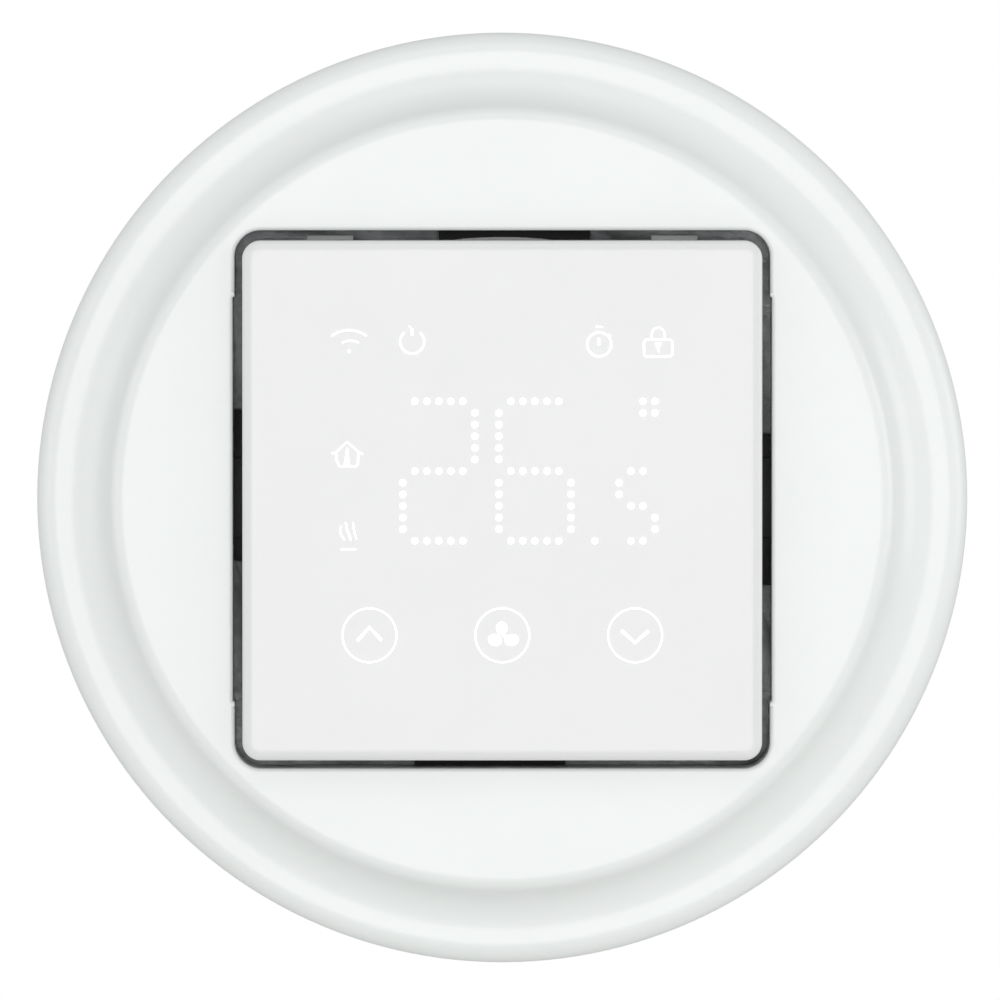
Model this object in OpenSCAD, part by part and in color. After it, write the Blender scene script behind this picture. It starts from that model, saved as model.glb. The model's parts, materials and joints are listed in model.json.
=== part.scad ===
// Round wall thermostat: a square touch module that pulls off a power base,
// inside a round cover frame. Millimetres. The row frame has +Z up, the wall
// is the plane Y = 0, and the front looks along -Y. Every module is drawn
// with x to the right, y up and z out of the wall; to_wall() turns it.

/* [Cover frame] */
// Outer diameter of the round cover frame
frame_d = 99; // [97:0.2:119]
// Height of the flat centre of the frame above the wall
frame_h = 9.2; // [8.4:0.1:11]
// Diameter of the raised flat centre
centre_d = 82.6; // [81.6:0.2:86]
// Radius that rounds the edge of the raised centre
centre_round = 1.6; // [0.8:0.1:1.8]
// Distance from the outer edge to the crest of the rim
rim_w = 3.75; // [3:0.05:4]
// Height of the crest of the rim
rim_h = 7.4; // [6.8:0.1:8]
// Height at which the outer edge starts to round
edge_h = 4.2; // [3:0.1:5]
// Height of the hollow ring between rim and centre
cove_h = 5.3; // [5:0.1:5.8]
// Wall of the frame
frame_wall = 1.9; // [1.5:0.1:2.2]
// Wall of the square collar around the face
collar_wall = 1.6; // [1.2:0.1:2]

/* [Face] */
// Width and height of the square face
face_w = 55; // [45.8:0.2:55.4]
// How far the face stands out from the flat centre of the frame
face_stand = 4.4; // [3.6:0.1:6]
// Radius of the upright edges of the face
face_corner = 2.4; // [1.6:0.1:3]
// Radius that rounds the front edge of the face
face_round = 0.9; // [0.4:0.1:1.2]
// Thickness of the front wall of the face
face_t = 1.8; // [1.4:0.1:2.2]
// Wall of the sides of the face
face_wall = 1.6; // [1.2:0.1:1.8]
// Open gap left and right of the face
side_gap = 0.9; // [0.6:0.05:1.2]
// Open gap above and below the face
end_gap = 1.05; // [0.8:0.05:1.2]

/* [Display] */
// Distance between dot columns
dot_dx = 1.27; // [1.1:0.01:1.3]
// Distance between dot rows
dot_dz = 1.23; // [1.1:0.01:1.3]
// Diameter of a lit dot
dot_d = 0.75; // [0.5:0.05:0.9]
// Left-most dot column, from the middle of the face
dots_left = -10.52; // [-11:0.01:-10]
// Top dot row, from the middle of the face
dots_top = 10.53; // [9.5:0.01:11]
// Stroke of the small symbols
stroke = 0.34; // [0.2:0.02:0.4]
// Radius of the rings around the touch keys
key_ring_r = 2.84; // [2.4:0.02:3.2]
// Distance of the two outer touch keys from the middle
key_x = 14.05; // [13:0.05:14.5]
// Height of the touch keys below the middle of the face
key_drop = 14.2; // [13.5:0.1:14.8]

/* [Support plate] */
// Width and height of the support plate
plate_w = 71; // [68:0.5:74]
// Thickness of the support plate
plate_t = 1.2; // [1:0.1:1.6]
// Spacing of the wall box screws
box_screw_pitch = 60; // [60:0.1:60.6]
// Width of the slot for a wall box screw
box_slot_w = 4.2; // [3.8:0.1:4.6]
// Length of the slot for a wall box screw
box_slot_l = 7; // [6:0.2:7.4]

/* [Power base] */
// Width and height of the power base
base_w = 48.4; // [47.6:0.2:48.8]
// Radius that trims the corners of the base to a round wall box
base_trim_r = 29.2; // [29:0.1:29.5]
// Depth of the base behind the wall
base_depth = 22; // [22:0.5:28]
// Wall of the base
base_wall = 1.5; // [1.2:0.1:1.6]
// Thickness of the flange in front of the support plate
flange_t = 1.6; // [1.4:0.1:2]
// Thickness of the rear cover
rear_t = 1.8; // [1.6:0.1:2.2]

/* [Boards] */
// Thickness of the power board
power_board_t = 1.6; // [1:0.1:1.6]
// Height of the power board's posts
power_post_h = 4; // [3.6:0.1:4]
// Thickness of the display board
display_board_t = 1.2; // [0.8:0.1:1.6]
// Room for parts behind the display board
display_room = 2.7; // [2.5:0.1:2.9]

/* [Terminals] */
// Number of terminals
pole_count = 6; // [3:1:6]
// Distance between terminals
pole_pitch = 5; // [4.9:0.05:5.05]
// Diameter of a wire entry
wire_d = 2.8; // [2:0.1:2.8]
// Outer diameter of the terminal screw's thread
screw_d = 2.5; // [2:0.1:2.6]
// Travel of a clamp cage
cage_travel = 2.7; // [1.5:0.1:2.7]

/* [Relay] */
// Width of the relay
relay_w = 15.5; // [15:0.1:16]
// Length of the relay
relay_l = 19; // [18.6:0.1:19.2]
// Height of the relay above the power board
relay_h = 15.2; // [15:0.1:15.2]

/* [Clearances] */
// Gap between pieces that are put together without moving
fit_gap = 0.1; // [0.05:0.05:0.15]
// Gap between a screw and the hole it is driven into
thread_gap = 0.02; // [0.01:0.01:0.04]
// Gap between a shaft and the hole it turns in
running_gap = 0.06; // [0.03:0.01:0.09]
// Gap between the display module and the power base
seat_gap = 0.3; // [0.2:0.05:0.5]

/* [Hidden] */
$fn = 64;

// Heights above the wall plane
face_top = frame_h + face_stand;
panel_z = face_top - face_t;                  // back of the face's front wall
flange_z = plate_t + flange_t;                // front of the base's flange
back_z = flange_z + seat_gap;                 // back of the display module
back_t = 1.2;                                 // slab of the display back
back_top = back_z + back_t;
board_z = back_top + display_room;            // back of the display board
board_top = board_z + display_board_t;
ceiling_t = 1.8;                              // front wall of the base
ceiling_z = flange_z - ceiling_t;
power_z = ceiling_z - power_post_h;           // front of the power board
parts_z = power_z - power_board_t;            // back of the power board
rear_z = -base_depth;                         // back of the rear cover
rear_in_z = rear_z + rear_t;

// Plan sizes, as half widths or radii
frame_r = frame_d / 2;
centre_r = centre_d / 2;
crest_r = frame_r - rim_w;
open_x = face_w / 2 + side_gap;
open_y = face_w / 2 + end_gap;
open_corner = face_corner + side_gap;
cover_gap = 0.8;                              // collar above the plate
face_in = face_w / 2 - face_wall;             // inside of the face's sides
board_r = face_in - 0.5;                      // display board
base_r = base_w / 2;
base_in = base_r - base_wall;
base_in_trim = base_trim_r - base_wall;
flange_r = base_r + 1.3;
plate_trim_r = 46;                            // corners of the support plate

// Openings at the middle of each side of the support plate, and the thin ears
// of the base's flange that cover them
ear_l = 16;
ear_t = 0.6;
ear_lap = 0.4;                                // ear beyond the opening
ear_gap = 0.2;                                // ear to tongue
win_l = ear_l - 2 * ear_lap;
win_in = flange_r + 0.5;
win_shift = 1.3;
tongue_w = 11;
tongue_t = 0.8;
tongue_gap = 0.15;
tongue_y = open_y + collar_wall + tongue_gap; // inner face of a tongue
side_win_out = 28.9;
side_rib = 1.3;
head_room_r = 3.8;                            // room for the head of a wall box screw
head_room_h = 3.6;                            // the same, under the collar
head_room_w = 10;

// Screws that close the base and the module
case_screw_x = 18.4;
case_screw_y = 17.2;
case_screw_r = 1.1;
case_boss_r = 2.6;
module_screw_r = 0.95;
module_screw_at = face_in - 3.3;
module_boss_r = 2.3;
module_head_r = 1.8;
module_head_h = 1.3;
board_screw_r = 0.9;
board_boss_r = 2.2;
board_screw_at = [[-20, 11], [20, 6]];

// Pins between the base and the module
pin_cols = 5;
pin_pitch = 2.54;
pin_w = 0.64;
pin_slot = 0.9;
header_y = -9.6;
header_h = 2.5;
socket_w = pin_cols * pin_pitch;
socket_l = 2 * pin_pitch;
socket_gap = 0.6;
socket_z = ceiling_z + 0.9;
pin_top = board_z - 1.4;

// Terminals, from the back of the base inwards
block_w = pole_count * pole_pitch + 0.6;
block_y = -base_r;
block_l = 10.8;
block_gap = 0.2;
head_r = 1.85;
head_h = 1.5;
head_sink = 0.6;
shoulder_t = 0.8;
pole_y = block_y + 5.2;
cage_w = 3.9;
cage_l = 4.6;
cage_side = 0.5;
cage_lid = 1.2;
cage_floor = 0.9;
tongue_thick = 0.8;
wire_gap = 0.1;
shoulder_z = rear_z + head_sink + head_h;     // seat of the screw head
chamber_z0 = shoulder_z + shoulder_t;
cage_lid_z = chamber_z0 + 0.4 + cage_travel;  // lid, towards the screw head
tip_z = cage_lid_z + cage_lid + 0.1;
bar_z = tip_z + 0.1;                          // current bar inside the cage
bar_top = bar_z + tongue_thick;
wire_z = bar_top + wire_gap + wire_d / 2;
cage_top = bar_top + 2 * wire_gap + wire_d + cage_floor;
chamber_z1 = cage_top + 0.3;
chamber_w = cage_w + 0.2;
chamber_y0 = pole_y - cage_l / 2 - 0.2;
chamber_y1 = pole_y + cage_l / 2 + 0.2;
tail_y = chamber_y1 + 0.4;

// Parts on the power board: middles in x and y
relay_at = [-11.5, -1.6];
transformer_at = [8, 15];
film_at = [-8.5, 14.6];
film_size = [13, 5.6, 11.5];
varistor_at = [-9, 20.4];
varistor_r = 3.6;
can_r = 4;
can_h = 11.5;
can_at = [[1.4, -7], [10.6, -7]];
fuse_at = [18.2, -5.4];
fuse_size = [4.2, 8.4, 8];
rectifier_at = [3, 2.4];

// Colours
white = [0.93, 0.94, 0.93];
glow = [1, 1, 1];
zinc = [0.62, 0.63, 0.64];
black_plastic = [0.09, 0.09, 0.1];
grey_plastic = [0.8, 0.81, 0.8];
board_green = [0.05, 0.28, 0.16];
steel = [0.7, 0.71, 0.72];
copper = [0.72, 0.38, 0.2];

// ---------------------------------------------------------------- helpers

module to_wall() rotate([90, 0, 0]) children();

// A box between two opposite corners
module span(low, high) translate(low) cube(high - low);

module round_rect(w, h, r) {
  square([w - 2 * r, h], center = true);
  square([w, h - 2 * r], center = true);
  for (sx = [-1, 1], sy = [-1, 1])
    translate([sx * (w / 2 - r), sy * (h / 2 - r)]) circle(r);
}

module round_slab(w, h, r, z0, z1)
  translate([0, 0, z0]) linear_extrude(z1 - z0) round_rect(w, h, r);

module rod(r, z0, z1) translate([0, 0, z0]) cylinder(r = r, h = z1 - z0);

// Square of half width w with its corners trimmed by a circle
module trimmed_slab(w, r, z0, z1)
  translate([0, 0, z0]) linear_extrude(z1 - z0) intersection() {
    square(2 * w, center = true);
    circle(r);
  }

module four(x, y) for (sx = [-1, 1], sy = [-1, 1]) translate([sx * x, sy * y, 0]) children();

// Puts a part on the back of the power board, its own z pointing rearwards
module on_power_board(at) translate([at[0], at[1], parts_z]) mirror([0, 0, 1]) children();

// Pan head at z = 0 pointing up, with a cross recess
module pan_head(r, h) difference() {
  rod(r, 0, h);
  for (a = [0, 90]) rotate(a)
    translate([-0.6 * r, -0.14 * r, 0.45 * h]) cube([1.2 * r, 0.28 * r, h]);
}

function arc(c, r, a0, a1, n) =
  [for (i = [0:n]) let (a = a0 + (a1 - a0) * i / n) [c[0] + r * cos(a), c[1] + r * sin(a)]];

function bend(a, b, c, d, n) =
  [for (i = [1:n]) let (t = i / n, u = 1 - t)
    u * u * u * a + 3 * u * u * t * b + 3 * u * t * t * c + t * t * t * d];

// ------------------------------------------------------------ cover frame

// Half section of the frame: flat centre, hollow ring, crest and outer edge
module frame_section() {
  crest_in = [crest_r - 0.7, rim_h - 0.45];
  crest_out = [crest_r + 0.4, rim_h - 0.05];
  polygon(concat(
    [[0, 0], [0, frame_h]],
    arc([centre_r - centre_round, frame_h - centre_round], centre_round, 90, 0, 8),
    bend([centre_r, frame_h - centre_round], [centre_r, cove_h],
         [centre_r + 0.5 * (crest_r - centre_r), cove_h + 0.45], crest_in, 12),
    bend(crest_in, crest_in + [0.4, 0.3], crest_out - [0.4, -0.05], crest_out, 5),
    bend(crest_out, crest_out + [1.5, -0.25], [frame_r, rim_h - 0.9], [frame_r, edge_h], 12),
    [[frame_r, 0]]));
}

module cover_frame() to_wall() color(white) {
  ring_z = cove_h - frame_wall + 0.6;
  difference() {
    rotate_extrude($fn = 96) frame_section();
    translate([0, 0, -1]) cylinder(r = frame_r - frame_wall, h = 1 + ring_z);
    translate([0, 0, -1]) cylinder(r = centre_r - frame_wall, h = 1 + frame_h - frame_wall);
    round_slab(2 * open_x, 2 * open_y, open_corner, -1, frame_h + 1);
  }
  difference() {
    round_slab(2 * (open_x + collar_wall), 2 * (open_y + collar_wall),
               open_corner + collar_wall, plate_t + cover_gap, frame_h - frame_wall);
    round_slab(2 * open_x, 2 * open_y, open_corner, -1, frame_h + 1);
    // room for the heads of the wall box screws
    for (sx = [-1, 1]) translate([sx * (open_x + collar_wall), 0, plate_t])
      cube([4 * collar_wall, head_room_w, 2 * head_room_h], center = true);
  }
}

// ---------------------------------------------------------------- the face

module face_corner_post(r0) rotate_extrude($fn = 32)
  polygon(concat([[0, back_top], [0, face_top]],
                 arc([r0 - face_round, face_top - face_round], face_round, 90, 0, 6),
                 [[r0, back_top]]));

module face_cover() to_wall() color(white) {
  difference() {
    hull() four(face_w / 2 - face_corner, face_w / 2 - face_corner)
      face_corner_post(face_corner);
    round_slab(2 * face_in, 2 * face_in, face_corner - 1, back_top - 1, panel_z);
  }
  four(module_screw_at, module_screw_at) difference() {
    rod(module_boss_r, board_top, panel_z + 0.2);
    rod(module_screw_r + thread_gap, board_top - 1, panel_z - 0.6);
  }
}

mark_t = 0.05;
module mark() translate([0, 0, face_top]) linear_extrude(mark_t) children();

// Dots of one seven-segment digit: on lists the lit segments, a to g
function digit(on, col, row, nx, ny) = [
  for (c = [1:nx - 1]) if (len(search("a", on)) > 0) [col + c, row],
  for (c = [1:nx - 1]) if (len(search("g", on)) > 0) [col + c, row + ny / 2],
  for (c = [1:nx - 1]) if (len(search("d", on)) > 0) [col + c, row + ny],
  for (r = [1:ny / 2 - 1]) if (len(search("f", on)) > 0) [col, row + r],
  for (r = [1:ny / 2 - 1]) if (len(search("b", on)) > 0) [col + nx, row + r],
  for (r = [1:ny / 2 - 1]) if (len(search("e", on)) > 0) [col, row + ny / 2 + r],
  for (r = [1:ny / 2 - 1]) if (len(search("c", on)) > 0) [col + nx, row + ny / 2 + r]];

degree_ring = [[20, 0], [21, 0], [20, 1], [21, 1]];
lit_dots = concat(digit("abged", 0, 0, 6, 12), digit("afgecd", 8, 0, 6, 12),
                  [[16, 12]], digit("afgcd", 18, 6, 3, 6), degree_ring);
function dot_xy(d) = [dots_left + d[0] * dot_dx, dots_top - d[1] * dot_dz];

module digit_dots() to_wall() color(glow)
  mark() for (d = lit_dots) translate(dot_xy(d)) circle(dot_d / 2, $fn = 16);

module ring(r, w) difference() { circle(r + w / 2); circle(r - w / 2); }

// Part of a ring between two angles less than 180 degrees apart
module ring_part(r, w, a0, a1) intersection() {
  ring(r, w);
  polygon([[0, 0], 3 * r * [cos(a0), sin(a0)],
           3 * r * [cos((a0 + a1) / 2), sin((a0 + a1) / 2)], 3 * r * [cos(a1), sin(a1)]]);
}

// Straight stroke with round ends
module line(a, b, w = stroke) {
  d = b - a;
  translate(a) rotate(atan2(d[1], d[0])) translate([0, -w / 2]) square([norm(d), w]);
  for (p = [a, b]) translate(p) circle(w / 2, $fn = 16);
}

module radio_mark() {
  circle(0.3);
  for (r = [1.1, 2.15]) ring_part(r, stroke, 42, 138);
}

module power_mark() {
  ring_part(1.25, stroke, -70, 60);
  ring_part(1.25, stroke, 120, 250);
  ring_part(1.25, stroke, 249, 291);
  line([0, 0.35], [0, 1.45]);
}

module timer_mark() {
  ring(1.3, stroke);
  translate([0, 1.95]) square([0.9, 0.4], center = true);
  line([0, 0], [0, 0.8], 0.3);
  line([1.2, 1.35], [1.45, 1.6], 0.3);
}

module lock_mark() difference() {
  union() {
    translate([0, -0.55]) round_rect(2.9, 2.0, 0.3);
    translate([0, 0.9]) difference() {
      ring(0.62, 0.28);
      translate([0, -1]) square(2, center = true);
    }
    for (sx = [-1, 1]) translate([sx * 0.62, 0.65]) square([0.28, 0.7], center = true);
  }
  translate([0, -0.4]) circle(0.32, $fn = 16);
  translate([0, -0.8]) square([0.26, 0.6], center = true);
}

module house_mark() {
  line([-1.6, 0.1], [0, 1.5], 0.3);
  line([0, 1.5], [1.6, 0.1], 0.3);
  for (sx = [-1, 1]) line([sx * 1.05, 0.2], [sx * 1.05, -1.25], 0.3);
  line([-1.05, -1.25], [-0.4, -1.25], 0.3);
  line([0.4, -1.25], [1.05, -1.25], 0.3);
  line([0, 0.5], [0, -0.6], 0.42);
  translate([0, -0.85]) circle(0.42);
}

module heat_mark() {
  for (i = [-1:1]) translate([0.55 * i, 0.6]) {
    translate([0.22, 0.5]) rotate(180) ring_part(0.5, 0.26, -50, 50);
    translate([-0.42, -0.3]) ring_part(0.5, 0.26, -50, 50);
  }
  line([-0.8, -1.2], [0.8, -1.2], 0.26);
}

icon_at = [[-16.2, 16.1], [-9.6, 16.8], [10.2, 16.6], [16.5, 16.6],
           [-16.4, 5], [-16.3, -3.7]];

module icon_marks() to_wall() color(glow) mark() {
  translate(icon_at[0]) radio_mark();
  translate(icon_at[1]) power_mark();
  translate(icon_at[2]) timer_mark();
  translate(icon_at[3]) lock_mark();
  translate(icon_at[4]) house_mark();
  translate(icon_at[5]) heat_mark();
}

module chevron(up) {
  line([-1.35, -0.8 * up], [0, 0.8 * up]);
  line([0, 0.8 * up], [1.35, -0.8 * up]);
}

module fan_mark() for (a = [90, 210, 330]) rotate(a) {
  translate([0.78, 0]) circle(0.62);
  line([0, 0], [0.6, 0], 0.3);
}

key_xs = [-key_x, 0, key_x];

module key_marks() to_wall() color(glow) mark() {
  for (x = key_xs) translate([x, -key_drop]) ring(key_ring_r, 0.24);
  translate([-key_x, -key_drop]) chevron(1);
  translate([0, -key_drop]) fan_mark();
  translate([key_x, -key_drop]) chevron(-1);
}

// ------------------------------------------------- inside the display module

led_h = 0.7;
cell_w = 1.8;         // width of a light cell
cell_end = 1.3;       // from the middle of a corner dot to the end of a cell
box_x = 20;           // half width of the light box
box_y0 = -6.6;
box_y1 = 19.8;

// Middles and directions of the light cells behind one digit
function cells(col, row, nx, ny) = let (w = nx * dot_dx, h = ny * dot_dz / 2)
  [for (k = [0:2]) [dot_xy([col, row]) + [w / 2, -k * h], w - 2 * cell_end, 0],
   for (k = [0:1], s = [0:1]) [dot_xy([col, row]) + [s * w, -(k + 0.5) * h],
                               h - 2 * cell_end, 90]];
big_cells = concat(cells(0, 0, 6, 12), cells(8, 0, 6, 12));
point_cells = [dot_xy([16, 12]), dot_xy([20.5, 0.5])];

module light_box() to_wall() color(grey_plastic) difference() {
  span([-box_x, box_y0, board_top], [box_x, box_y1, panel_z - fit_gap]);
  translate([0, 0, board_top - 1]) linear_extrude(panel_z - board_top + 2) {
    for (c = big_cells) translate(c[0]) rotate(c[2]) square([c[1], cell_w], center = true);
    for (p = point_cells) translate(p) square(1.9, center = true);
    translate(dot_xy([19.5, 9])) square([5.2, 9.2], center = true);
    for (p = icon_at) translate(p) square(5, center = true);
  }
}

module led(x, y) translate([x, y, board_top]) union() {
  translate([-0.8, -0.4, 0]) cube([1.6, 0.8, 0.3]);
  translate([-0.45, -0.4, 0]) cube([0.9, 0.8, led_h]);
}

module segment_leds() to_wall() color("ivory") {
  for (c = big_cells) translate([c[0][0], c[0][1], 0]) rotate(c[2]) led(0, 0);
  for (p = point_cells) translate([p[0], p[1], 0]) led(0, 0);
  for (dz = [-3, 0, 3]) translate(concat(dot_xy([19.5, 9]), 0)) led(0, dz);
}

module icon_leds() to_wall() color("ivory") {
  for (p = icon_at) led(p[0], p[1]);
  for (x = key_xs) led(x, -key_drop);
}

// Coil spring as one swept body: n turns of wire radius w on radius r
module coil(r, w, h, n) {
  steps = 14 * n;
  sides = 6;
  pts = [for (i = [0:steps], k = [0:sides - 1])
    let (a = 360 * n * i / steps, b = 360 * k / sides,
         lift = w + (h - 2 * w) * i / steps)
      [(r + w * cos(b)) * cos(a), (r + w * cos(b)) * sin(a), lift + w * sin(b)]];
  tube = [for (i = [0:steps - 1], k = [0:sides - 1]) let (j = (k + 1) % sides)
    [i * sides + k, (i + 1) * sides + k, (i + 1) * sides + j, i * sides + j]];
  polyhedron(points = pts, faces = concat(tube,
    [[for (k = [0:sides - 1]) k], [for (k = [sides - 1:-1:0]) steps * sides + k]]));
}

module touch_springs() to_wall() color("gold")
  for (x = key_xs) translate([x, -key_drop, board_top + 0.05])
    coil(3.6, 0.25, panel_z - board_top - 0.1, 3);

module display_board() to_wall() color(board_green) difference() {
  round_slab(2 * board_r, 2 * board_r, 1, board_z, board_top);
  four(module_screw_at, module_screw_at) rod(module_screw_r + 0.2, board_z - 1, board_top + 1);
}

module chip(w, h, t) {
  span([-w / 2, -h / 2, 0.1], [w / 2, h / 2, t]);
  for (a = [0, 90, 180, 270], i = [-2.5:1:2.5]) rotate(a)
    translate([i * w / 7 - 0.15, w / 2 - 0.1, 0]) cube([0.3, 1.1, 0.25]);
}

// Puts a part on the back of the display board, its own z pointing rearwards
module on_display_board(x, y) translate([x, y, board_z]) mirror([0, 0, 1]) children();

module controller_chip() to_wall() color(black_plastic)
  on_display_board(-11, 12) chip(7, 7, 1.1);

module wireless_module() to_wall() color(steel) on_display_board(10, 10) {
  span([-6, -8, 0], [6, 8, 0.8]);
  span([-5.4, -7.4, 0.8], [5.4, 4, 2.2]);
}

module buzzer() to_wall() color(black_plastic) on_display_board(-13, -1) difference() {
  span([-4.5, -4.5, 0], [4.5, 4.5, 1.9]);
  rod(0.8, 1.2, 3);
}

module room_sensor() to_wall() color("black") on_display_board(-14, 5 - board_r) {
  translate([0, 0, 1.2]) sphere(0.9, $fn = 24);
  for (sx = [-1, 1]) translate([sx * 0.5, 0, 0]) rod(0.2, 0, 0.9);
}

battery_at = [14.6, -13.5];
battery_r = 6.2;
battery_t = 1.5;

module backup_battery() to_wall() color(steel) on_display_board(battery_at[0], battery_at[1]) union() {
  rod(battery_r, 0.3, battery_t + 0.3);
  rod(battery_r - 1, 0.05, 0.3);
}

module battery_clip() to_wall() color("gold") on_display_board(battery_at[0], battery_at[1]) {
  z0 = battery_t + 0.35;
  x0 = battery_r + 0.2;
  span([-x0 - 0.4, -1.6, z0], [x0 + 0.4, 1.6, z0 + 0.3]);
  for (sx = [-1, 1]) translate([sx * (x0 + 0.2), 0, z0 / 2]) cube([0.4, 3.2, z0], center = true);
}

module pin_grid() for (i = [0:pin_cols - 1], s = [-1, 1])
  translate([(i - (pin_cols - 1) / 2) * pin_pitch, header_y + s * pin_pitch / 2, 0]) children();

module pin_socket() to_wall() color(black_plastic) difference() {
  translate([0, header_y, 0])
    span([-socket_w / 2, -socket_l / 2, socket_z], [socket_w / 2, socket_l / 2, board_z]);
  pin_grid() translate([-pin_slot / 2, -pin_slot / 2, socket_z - 1])
    cube([pin_slot, pin_slot, pin_top - socket_z + 1.4]);
}

lug_x = 18.3;
lug_w = 4.9;
lug_out = 0.45;
lip_r = 47;
lip_w = 18;
lip_out = 0.28;
nub_x = 0.3;
nub_r = 0.85;
nub_in = 0.4;

module display_back() to_wall() color(white) difference() {
  union() {
    round_slab(face_w - 0.5, face_w - 0.5, face_corner - 0.25, back_z, back_top);
    // upstand inside the sides of the face
    difference() {
      round_slab(2 * (face_in - fit_gap), 2 * (face_in - fit_gap), face_corner - 1,
                 back_top, back_top + 1.6);
      round_slab(2 * (face_in - 1.2), 2 * (face_in - 1.2), face_corner - 1.4,
                 back_top - 1, back_top + 2);
    }
    four(module_screw_at, module_screw_at) rod(module_boss_r, back_top, board_z);
    // two hooks and a low arched lip on the upper edge, a nub on the lower one
    for (sx = [-1, 1]) translate([sx * lug_x - lug_w / 2, face_w / 2 - 2, back_z])
      cube([lug_w, 2 + lug_out, back_t]);
    intersection() {
      translate([0, face_w / 2 + lip_out - lip_r, 0]) rod(lip_r, back_z, back_top);
      span([-lip_w / 2, face_w / 2 - 3, back_z], [lip_w / 2, face_w / 2 + 1, back_top]);
    }
    translate([nub_x, nub_in - face_w / 2, 0]) rod(nub_r, back_z, back_top);
  }
  translate([0, header_y, 0])
    span([-(socket_w + socket_gap) / 2, -(socket_l + socket_gap) / 2, back_z - 1],
         [(socket_w + socket_gap) / 2, (socket_l + socket_gap) / 2, back_top + 1]);
  four(module_screw_at, module_screw_at) {
    rod(module_head_r + 0.2, back_z - 1, back_z + module_head_h);
    rod(module_screw_r + 0.15, back_z, board_z + 1);
  }
}

module display_screws() to_wall() color(steel) four(module_screw_at, module_screw_at) {
  translate([0, 0, back_z + module_head_h]) mirror([0, 0, 1])
    pan_head(module_head_r, module_head_h - 0.2);
  rod(module_screw_r, back_z + module_head_h, panel_z - 1);
}

// ----------------------------------------------------------- support plate

module slot_hole(w, l) {
  square([l - w, w], center = true);
  for (sx = [-1, 1]) translate([sx * (l - w) / 2, 0]) circle(w / 2);
}

module support_plate() to_wall() color(zinc) {
  difference() {
    linear_extrude(plate_t) intersection() {
      round_rect(plate_w, plate_w, 4);
      circle(plate_trim_r);
    }
    trimmed_slab(base_r + 0.2, base_trim_r + 0.2, -1, plate_t + 1);
    translate([0, 0, -1]) linear_extrude(plate_t + 2) {
      // upper and lower openings, from which the tongues are bent up
      for (s = [-1, 1]) translate([s * win_shift, s * (win_in + tongue_y) / 2])
        round_rect(win_l, tongue_y - win_in, 1.2);
      // wall box screw slots, each between two side openings
      for (s = [-1, 1]) {
        translate([s * box_screw_pitch / 2, 0]) slot_hole(box_slot_w, box_slot_l);
        for (k = [-1, 1]) {
          y_in = box_slot_w / 2 + side_rib;
          y_out = win_l / 2 - s * k * win_shift;
          translate([s * (win_in + side_win_out) / 2, k * (y_in + y_out) / 2])
            round_rect(side_win_out - win_in, y_out - y_in, 0.5);
        }
      }
    }
  }
  // spring tongues that hold the collar of the cover frame
  for (s = [-1, 1]) translate([s * win_shift, s * (tongue_y + tongue_t / 2), 0])
    translate([-tongue_w / 2, -tongue_t / 2, 0]) cube([tongue_w, tongue_t, frame_h - frame_wall - 1.2]);
}

// -------------------------------------------------------------- power base

// Ears of the flange: each covers an opening of the plate, and the two at the
// sides also bridge the head of the wall box screw
module flange_ears() {
  ear_in = flange_r - 1;
  for (s = [0, 180]) rotate(s) translate([win_shift, 0, 0])
    span([-ear_l / 2, ear_in, plate_t], [ear_l / 2, tongue_y - ear_gap, plate_t + ear_t]);
  for (s = [90, 270]) rotate(s) {
    difference() {
      translate([win_shift, 0, 0])
        span([-ear_l / 2, ear_in, plate_t], [ear_l / 2, side_win_out + ear_lap, plate_t + ear_t]);
      translate([0, box_screw_pitch / 2, 0]) rod(head_room_r, plate_t - 1, plate_t + ear_t + 1);
    }
    span([-head_room_r - ear_lap, ear_in, flange_z - ear_t],
         [head_room_r + ear_lap, open_x + collar_wall - ear_gap, flange_z]);
  }
}

module base_housing() to_wall() color(black_plastic) difference() {
  union() {
    difference() {
      union() {
        trimmed_slab(base_r, base_trim_r, rear_in_z, plate_t + 0.5);
        round_slab(2 * flange_r, 2 * flange_r, 3, plate_t, flange_z);
        flange_ears();
        // snap ridges behind the support plate
        for (s = [0, 180]) rotate(s) translate([-4, base_r - 0.2, 0]) rotate([90, 0, 90])
          linear_extrude(8) polygon([[0, -0.1], [0.9, -0.1], [0, -2]]);
      }
      trimmed_slab(base_in, base_in_trim, rear_in_z - 1, ceiling_z);
    }
    intersection() {
      trimmed_slab(base_r, base_trim_r, rear_in_z, ceiling_z + 0.5);
      four(case_screw_x, case_screw_y) rod(case_boss_r, rear_in_z, ceiling_z + 0.5);
    }
    for (p = board_screw_at) translate([p[0], p[1], 0]) rod(board_boss_r, power_z, ceiling_z + 0.2);
    four(12, 19) rod(1.6, power_z, ceiling_z + 0.2);
  }
  four(case_screw_x, case_screw_y) rod(case_screw_r + thread_gap, rear_in_z - 1, rear_in_z + 9);
  for (p = board_screw_at) translate([p[0], p[1], 0])
    rod(board_screw_r + thread_gap, power_z - 1, power_z + 3.6);
  // way through for the pins and the socket
  translate([0, header_y, 0])
    span([-socket_w / 2 - socket_gap, -socket_l / 2 - socket_gap, ceiling_z - 1],
         [socket_w / 2 + socket_gap, socket_l / 2 + socket_gap, flange_z + 1]);
  // the terminal block fills this cut in the lower wall
  span([-block_w / 2 - block_gap, block_y - 1, rear_in_z - 1],
       [block_w / 2 + block_gap, block_y + base_wall + 1, parts_z + block_gap]);
}

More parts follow.
